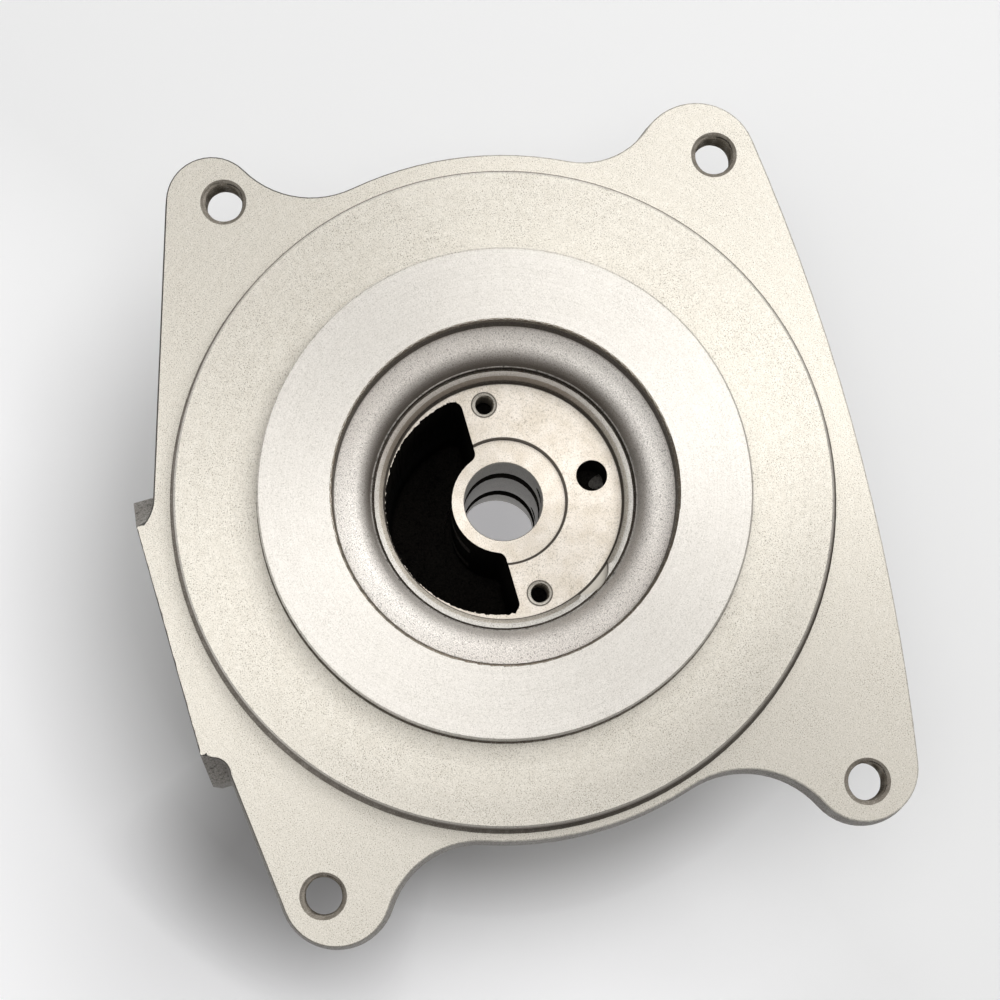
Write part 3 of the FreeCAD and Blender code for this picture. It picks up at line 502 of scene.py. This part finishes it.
def onOutline(edge):
    if edge.key not in topFaces or edge.key not in sideFaces:
        return False
    for end in endsOf(edge):
        if fromBore(end) <= outline["from"]:
            return False
        if any((Vector(hole) - end.xy / mm).length <= outline["holesClear"] for hole in outline["holes"]):
            return False
    return True


selectEdges(onOutline)
bpy.ops.mesh.bevel(offset=outline["edge"] * mm, offset_type="OFFSET", segments=1, affect="EDGES")
bpy.ops.object.mode_set(mode="OBJECT")
print("outline edged", len(casting.data.polygons), "faces")

# The drain pad's long top edge is slightly uneven

uneven = {"beyond": -65.5, "longFrom": 5.0, "cuts": 60, "reach": 0.13, "waves": 0.8,
          "fineTimes": 3, "fineShare": 0.5, "least": -0.4}


def onPadEdge(edge):
    ends = [end / mm for end in endsOf(edge)]
    onPad = all(closeTo(end.z, outline["level"], 0.05) and end.y < uneven["beyond"] for end in ends)
    return onPad and (ends[0] - ends[1]).length > uneven["longFrom"]


selectEdges(onPadEdge)
bpy.ops.mesh.subdivide(number_cuts=uneven["cuts"], ngon=False)
bpy.ops.object.mode_set(mode="OBJECT")
for vertex in casting.data.vertices:
    if vertex.select and vertex.co.y < uneven["beyond"] * mm:
        place = vertex.co / mm * uneven["waves"]
        dent = noise.noise(place) + uneven["fineShare"] * noise.noise(place * uneven["fineTimes"])
        vertex.co.y += max(dent, uneven["least"]) * uneven["reach"] * mm
print("pad edge", len(casting.data.polygons), "faces")

# Each face gets its finish by its height, its distance from the bore's axis, and the way it faces

mesh = casting.data
count = len(mesh.polygons)
middles = np.zeros(count * 3)
normals = np.zeros(count * 3)
mesh.polygons.foreach_get("center", middles)
mesh.polygons.foreach_get("normal", normals)
middles = middles.reshape(-1, 3) / mm
normals = normals.reshape(-1, 3)
radius = np.hypot(middles[:, 0], middles[:, 1])
height = middles[:, 2]
lift = normals[:, 2]
outward = (normals[:, 0] * middles[:, 0] + normals[:, 1] * middles[:, 1]) / np.maximum(radius, 0.01)
facing = {
    "any": np.full(count, True),
    "up": lift > 0.98,
    "notUp": ~(lift > 0.98),
    "down": lift < -0.98,
    "rising": lift > 0.5,
    "slanting": (lift > 0.5) & (lift < 0.9),
    "upright": np.abs(lift) < 0.02,
    "drafted": (lift > -0.14) & (lift < 0.0) & (middles[:, 1] > -62.0),   # the plate's cast sides
    "hollow": (outward < 0.1) | (radius < 20.0),                          # walls of the cavity and tube
    "inward": outward < -0.5,
    "drainFace": (normals[:, 1] < -0.98) & (np.abs(middles[:, 1] + 66.2) < 0.05),
    "inletFace": (normals[:, 1] > 0.98) & (np.abs(middles[:, 1] - 46.0) < 0.05),
}
low, high, wide = -80.0, 20.0, 110.0     # mm, past the casting's ends and sides
zones = [                                # finish, heights and radii in mm, facing; a later row wins
    ("inside", (-60.0, 0.75), (0.0, 30.0), "hollow"),
    ("faced", (10.25, 10.35), (44.0, wide), "up"),
    ("faced", (5.45, 5.55), (60.0, wide), "up"),
    ("edge", (9.4, 10.3), (59.6, 60.6), "notUp"),
    ("edge", (15.0, high), (44.0, 44.9), "any"),
    ("frontFace", (15.9, high), (31.0, 44.9), "up"),
    ("wall", (10.3, 15.2), (44.3, 45.3), "notUp"),
    ("foot", (9.9, 10.29), (44.7, 45.3), "any"),
    ("wall", (5.5, 9.45), (60.0, 61.0), "notUp"),
    ("groove", (4.9, 5.49), (60.4, 61.4), "any"),
    ("outline", (5.2, 5.49), (61.8, wide), "slanting"),
    ("side", (-2.0, 5.4), (61.0, wide), "drafted"),
    ("sunk", (5.8, 11.0), (0.0, 31.2), "any"),
    ("step", (10.95, 15.3), (0.0, 31.4), "any"),
    ("lip", (15.0, high), (0.0, 33.0), "notUp"),
    ("step", (0.0, 5.8), (0.0, 24.8), "notUp"),
    ("step", (3.4, 3.6), (23.8, 24.8), "any"),
    ("seat", (-0.1, 3.4), (0.0, 24.0), "up"),
    ("seat", (3.6, 4.3), (0.0, 24.0), "up"),
    ("rim", (4.15, 4.25), (0.0, 24.0), "up"),
    ("slope", (3.5, 4.15), (22.2, 23.1), "rising"),
    ("wall", (-55.0, 0.0), (7.1, 7.5), "any"),
    ("wall", (-60.0, -55.0), (10.7, 11.3), "inward"),
    ("wall", (low, -60.0), (8.3, 8.7), "any"),
    ("wall", (low, -64.4), (36.5, 37.5), "any"),
    ("faced", (-64.6, -64.4), (0.0, wide), "down"),
    ("faced", (-71.1, -70.9), (0.0, wide), "down"),
    ("wall", (low, -57.0), (42.6, 43.4), "upright"),
    ("faced", (low, high), (0.0, wide), "drainFace"),
    ("faced", (low, high), (0.0, wide), "inletFace"),
]
chosen = np.full(count, finishNames.index("skin"))
for finish, (bottom, top), (inner, outer), way in zones:
    found = (height > bottom) & (height < top) & (radius >= inner) & (radius < outer) & facing[way]
    chosen[found] = finishNames.index(finish)
mesh.polygons.foreach_set("material_index", chosen.astype(np.int32))
mesh.update()
print("faces given their finish")

# The cast cavity breaks through the seat with a ragged edge

ragged = {"level": 0.8, "from": 17.5, "cuts": 7, "waves": 2.6, "reach": 0.32, "inwards": 0.05}
onSeat = facing["up"] & (np.abs(height - ragged["level"]) < 0.05)
onWall = chosen == finishNames.index("inside")
seatEdges = {key for face in mesh.polygons if onSeat[face.index] for key in face.edge_keys}
wallEdges = {key for face in mesh.polygons if onWall[face.index] for key in face.edge_keys}
mouth = {key for key in seatEdges & wallEdges
         if min(fromBore(mesh.vertices[k].co) for k in key) > ragged["from"]
         and mesh.vertices[key[0]].co.y < 0}
selectEdges(lambda edge: edge.key in mouth)
bpy.ops.mesh.subdivide(number_cuts=ragged["cuts"], ngon=False)
bpy.ops.object.mode_set(mode="OBJECT")
for vertex in mesh.vertices:
    if vertex.select:
        shift = noise.noise(vertex.co / mm * ragged["waves"]) * ragged["reach"] - ragged["inwards"]
        vertex.co.xy *= 1.0 + shift / fromBore(vertex.co)
print("ragged edge", len(mouth), "edges")

# Threads: each tapped hole's wall gives way to a sleeve with its thread, joined to the casting

threads = {                              # mm; a row says only what differs from the row before it
    "lugOne": {"middle": (68.4, 48.9, 5.5), "inward": (0, 0, -1), "tap": 3.4, "major": 4.0, "pitch": 1.25,
               "depth": 7.5, "through": True, "chamfer": 0.9, "chamferFinish": "lugChamfer", "sides": 56},
    "lugTwo": {"middle": (-51.1, 56.0, 5.5)},
    "lugThree": {"middle": (-67.8, -34.5, 5.5)},
    "lugFour": {"middle": (60.3, -51.8, 5.5)},
    "screwOne": {"middle": (18.33, 1.604, 0.8), "tap": 1.65, "major": 2.0, "pitch": 0.7, "depth": 8.0,
                 "through": False, "chamfer": 0.55, "chamferFinish": "chamfer", "sides": 32},
    "screwTwo": {"middle": (-18.33, 1.604, 0.8)},
    "drainLeft": {"middle": (-11.5, -66.2, -15.0), "inward": (0, 1, 0), "tap": 3.4, "major": 4.0,
                  "pitch": 1.25, "depth": 11.0, "chamfer": 0.9, "sides": 48},
    "drainRight": {"middle": (27.5, -66.2, -15.0)},
    "inletPort": {"middle": (0.0, 46.0, -23.0), "inward": (0, -1, 0), "tap": 5.4, "major": 6.0,
                  "pitch": 1.25, "depth": 11.0, "chamfer": 1.0, "sides": 64},
}
threading = {"flat": 0.12,               # share of a turn that is flat, at crest and root
             "fadeTurns": 2.0,           # a blind thread runs out over its last turns
             "stepsPerTurn": 8,
             "drillPast": 6.0,           # mm that a blind hole's wall may go on past its thread
             "seamReach": 0.03, "seamAside": 0.1}


def meshPlaces(kind):
    items = getattr(casting.data, kind)
    values = np.zeros(len(items) * 3)
    items.foreach_get("co" if kind == "vertices" else "center", values)
    return values.reshape(-1, 3) / mm


def faceNormals():
    values = np.zeros(len(casting.data.polygons) * 3)
    casting.data.polygons.foreach_get("normal", values)
    return values.reshape(-1, 3)


def alongHole(places, hole):
    start = np.array(hole["middle"])
    inward = np.array(hole["inward"], float)
    along = (places - start) @ inward
    aside = np.linalg.norm(places - start - np.outer(along, inward), axis=1)
    return along, aside


def selectFaces(mask):
    bpy.ops.object.mode_set(mode="EDIT")
    bpy.context.tool_settings.mesh_select_mode = (False, False, True)
    bpy.ops.mesh.select_all(action="DESELECT")
    bpy.ops.object.mode_set(mode="OBJECT")
    casting.data.polygons.foreach_set("select", mask)
    casting.data.update()


def wallFaces(hole, depth):
    along, aside = alongHole(meshPlaces("polygons"), hole)
    lean = faceNormals() @ np.array(hole["inward"], float)
    inHole = (aside < hole["tap"] + hole["chamfer"]) & (along > 0.0) & (along < depth)
    return inHole & (np.abs(lean) < 0.9)


def openWall(hole):
    if not hole["through"]:
        selectFaces(wallFaces(hole, hole["depth"] + threading["drillPast"]))
        bpy.ops.object.mode_set(mode="EDIT")
        end = Vector(hole["middle"]) + Vector(hole["inward"]) * hole["depth"]
        bpy.ops.mesh.bisect(plane_co=end * mm, plane_no=hole["inward"])
        bpy.ops.object.mode_set(mode="OBJECT")
    selectFaces(wallFaces(hole, hole["depth"]))
    bpy.ops.object.mode_set(mode="EDIT")
    bpy.ops.mesh.delete(type="FACE")
    bpy.ops.object.mode_set(mode="OBJECT")


def threadRadius(hole, along, turn):
    groove = 1.0 - abs(2.0 * ((along / hole["pitch"] + turn) % 1.0) - 1.0)
    groove = min(max((groove - threading["flat"]) / (1.0 - 2.0 * threading["flat"]), 0.0), 1.0)
    left = hole["depth"] - along
    fade = 1.0
    if not hole["through"]:
        fade = min(max(left / (threading["fadeTurns"] * hole["pitch"]), 0.0), 1.0)
    radius = hole["tap"] + (hole["major"] - hole["tap"]) * groove * fade
    radius = max(radius, hole["tap"] + hole["chamfer"] - along)
    if hole["through"]:
        radius = max(radius, hole["tap"] + hole["chamfer"] - left)
    return radius


def threadSleeve(name, hole):
    bpy.ops.object.select_all(action="DESELECT")
    bpy.ops.mesh.primitive_cylinder_add(vertices=hole["sides"], radius=hole["tap"] * mm,
                                        depth=hole["depth"] * mm, end_fill_type="NOTHING",
                                        location=(0, 0, -hole["depth"] * mm / 2))
    sleeve = bpy.context.object
    sleeve.name = name
    bpy.ops.object.transform_apply(location=True, rotation=True, scale=True)
    points = sleeve.data.vertices
    upright = [abs(points[e.vertices[0]].co.z - points[e.vertices[1]].co.z) > mm
               for e in sleeve.data.edges]
    bpy.ops.object.mode_set(mode="EDIT")
    bpy.context.tool_settings.mesh_select_mode = (False, True, False)
    bpy.ops.mesh.select_all(action="DESELECT")
    bpy.ops.object.mode_set(mode="OBJECT")
    sleeve.data.edges.foreach_set("select", upright)
    bpy.ops.object.mode_set(mode="EDIT")
    steps = round(hole["depth"] / hole["pitch"] * threading["stepsPerTurn"])
    bpy.ops.mesh.subdivide(number_cuts=steps - 1)
    bpy.ops.mesh.select_all(action="SELECT")
    bpy.ops.mesh.flip_normals()
    bpy.ops.object.mode_set(mode="OBJECT")
    for vertex in sleeve.data.vertices:
        turn = math.atan2(vertex.co.y, vertex.co.x)
        radius = threadRadius(hole, -vertex.co.z / mm, turn / (2 * math.pi)) * mm
        vertex.co.x = radius * math.cos(turn)
        vertex.co.y = radius * math.sin(turn)
    for finish in ("thread", hole["chamferFinish"], "root"):
        sleeve.data.materials.append(finishes[finish])
    rootFrom = (hole["tap"] + hole["major"]) / 2
    for face in sleeve.data.polygons:
        depth = -face.center.z / mm
        if depth < hole["chamfer"] or (hole["through"] and hole["depth"] - depth < hole["chamfer"]):
            face.material_index = 1
        elif fromBore(face.center) > rootFrom:
            face.material_index = 2
    lean = (-Vector(hole["inward"])).to_track_quat("Z", "X").to_matrix().to_4x4()
    lean.translation = Vector(hole["middle"]) * mm
    sleeve.data.transform(lean)
    return sleeve


def closeSeams(hole):
    for end in (0.0, hole["depth"]):
        bpy.ops.object.mode_set(mode="EDIT")
        bpy.context.tool_settings.mesh_select_mode = (False, True, False)
        bpy.ops.mesh.select_all(action="DESELECT")
        bpy.ops.mesh.select_non_manifold(extend=False, use_wire=False, use_multi_face=False,
                                         use_non_contiguous=False, use_verts=False)
        bpy.ops.object.mode_set(mode="OBJECT")
        along, aside = alongHole(meshPlaces("vertices"), hole)
        near = (np.abs(along - end) < threading["seamReach"])
        near &= aside < hole["tap"] + hole["chamfer"] + threading["seamAside"]
        for edge in casting.data.edges:
            edge.select = bool(edge.select and near[edge.vertices[0]] and near[edge.vertices[1]])
        bpy.ops.object.mode_set(mode="EDIT")
        bpy.ops.mesh.bridge_edge_loops()
        bpy.ops.object.mode_set(mode="OBJECT")


hole = {}
for name, changes in threads.items():
    hole = dict(hole, **changes)
    openWall(hole)
    sleeve = threadSleeve(name, hole)
    bpy.ops.object.select_all(action="DESELECT")
    sleeve.select_set(True)
    casting.select_set(True)
    bpy.context.view_layer.objects.active = casting
    bpy.ops.object.join()
    closeSeams(hole)
print("threads cut", len(casting.data.polygons), "faces")

bpy.ops.object.shade_smooth_by_angle(angle=math.radians(38))
bpy.ops.object.modifier_add(type="WEIGHTED_NORMAL")
casting.modifiers[-1].keep_sharp = True
casting.modifiers[-1].weight = 100
bpy.ops.object.modifier_apply(modifier=casting.modifiers[-1].name)
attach(casting, "root")
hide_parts("bearing_housing")
print("casting dressed")

# Floor: pale paper, whose far part is pale for the camera, with a glowing spot of painted light that
# shows through the bore, and painted shadow and light that shape the object's shadow

paper = {                                # radii in mm
    "colour": (0.90, 0.90, 0.90, 1.0), "rough": 0.9, "specular": 0.1, "glow": (0.98, 0.97, 1.0, 1),
    "paleRadii": (250.0, 2600.0), "paleLight": 0.80,
    "spotRadii": (15.0, 18.0), "spotLight": 0.34,
}
shade = {                                # painted shadow and painted light on the floor, by side; radii in mm
    "endSide": (0.48, -0.87, 0.0), "endLean": (0.05, 0.55),           # painted light: here the shadow ends early
    "endRadii": (78.0, 108.0), "endAway": (200.0, 900.0), "endLight": 0.20,
    "deepSide": (0.96, -0.28, 0.0), "deepLean": (0.05, 0.55),         # painted shadow: deep near the plate
    "deepRadii": (66.0, 80.0), "deepColour": (0.72, 0.715, 0.715, 1.0),
    "darkSide": (0.663, -0.749, 0.0), "darkLean": (0.93, 0.99),       # painted shadow: deepest beside the third lug
    "darkRadii": (86.0, 108.0), "darkColour": (0.54, 0.535, 0.535, 1.0),
    "belowSide": (0.997, -0.08, 0.0), "belowLean": (0.78, 0.95),      # painted light again below the crown
    "belowRadii": (68.0, 80.0), "belowAway": (90.0, 125.0), "belowLight": 0.11,
}

floorMaterial, tree, shader = newMaterial("palePaper")
shader.inputs["Roughness"].default_value = paper["rough"]
shader.inputs["Specular IOR Level"].default_value = paper["specular"]
place = addNode(tree, "ShaderNodeTexCoord").outputs["Object"]
distance = addNode(tree, "ShaderNodeVectorMath", operation="LENGTH")
link(tree, place, distance.inputs[0])
spot = betweenRadii(tree, distance.outputs["Value"], paper["spotRadii"], paper["spotLight"], 0.0)
far = betweenRadii(tree, distance.outputs["Value"], paper["paleRadii"], 0.0, paper["paleLight"])
outward, apart = fromAxis(tree, place)
endSide = towards(tree, outward, shade["endSide"], shade["endLean"])
deep = calculate(tree, "MULTIPLY", betweenRadii(tree, apart, shade["deepRadii"], 1.0, 0.0),
                 towards(tree, outward, shade["deepSide"], shade["deepLean"]))
dark = calculate(tree, "MULTIPLY", betweenRadii(tree, apart, shade["darkRadii"], 1.0, 0.0),
                 towards(tree, outward, shade["darkSide"], shade["darkLean"]))
shaded = mixColour(tree, deep, paper["colour"], shade["deepColour"])
link(tree, mixColour(tree, dark, shaded, shade["darkColour"]), shader.inputs["Base Color"])
ended = calculate(tree, "MULTIPLY",
                  betweenRadii(tree, apart, shade["endRadii"], 0.0, shade["endLight"]),
                  betweenRadii(tree, apart, shade["endAway"], 1.0, 0.0))
ended = calculate(tree, "MULTIPLY", ended, calculate(tree, "SUBTRACT", 1.0, dark))
below = calculate(tree, "MULTIPLY",
                  betweenRadii(tree, apart, shade["belowRadii"], 0.0, shade["belowLight"]),
                  betweenRadii(tree, apart, shade["belowAway"], 1.0, 0.0))
below = calculate(tree, "MULTIPLY", below, towards(tree, outward, shade["belowSide"], shade["belowLean"]))
pale = calculate(tree, "ADD", far, calculate(tree, "MULTIPLY", ended, endSide))
pale = calculate(tree, "ADD", pale, below)
lit = calculate(tree, "ADD", spot, calculate(tree, "MULTIPLY", pale, seenDirectly(tree)))
shader.inputs["Emission Color"].default_value = paper["glow"]
link(tree, lit, shader.inputs["Emission Strength"])
floor.data.materials.append(floorMaterial)

# Surroundings: one even light, and pale walls low down for the camera, gloss and glass alone

walls = {"light": 0.175, "paleLight": 0.80, "paleHeights": (0.25, 0.55)}

world = bpy.data.worlds.new("studioLight")
scene.world = world
world.use_nodes = True
tree = world.node_tree
background = tree.nodes["Background"]
background.inputs["Color"].default_value = (1, 1, 1, 1)
place = addNode(tree, "ShaderNodeTexCoord").outputs["Generated"]
apart = addNode(tree, "ShaderNodeSeparateXYZ")
link(tree, place, apart.inputs[0])
lowDown = spread(tree, apart.outputs["Z"], *walls["paleHeights"],
                 walls["paleLight"] - walls["light"], 0.0)
pale = calculate(tree, "MULTIPLY", lowDown, seenDirectly(tree))
link(tree, calculate(tree, "ADD", pale, walls["light"]), background.inputs["Strength"])
print("floor and world")
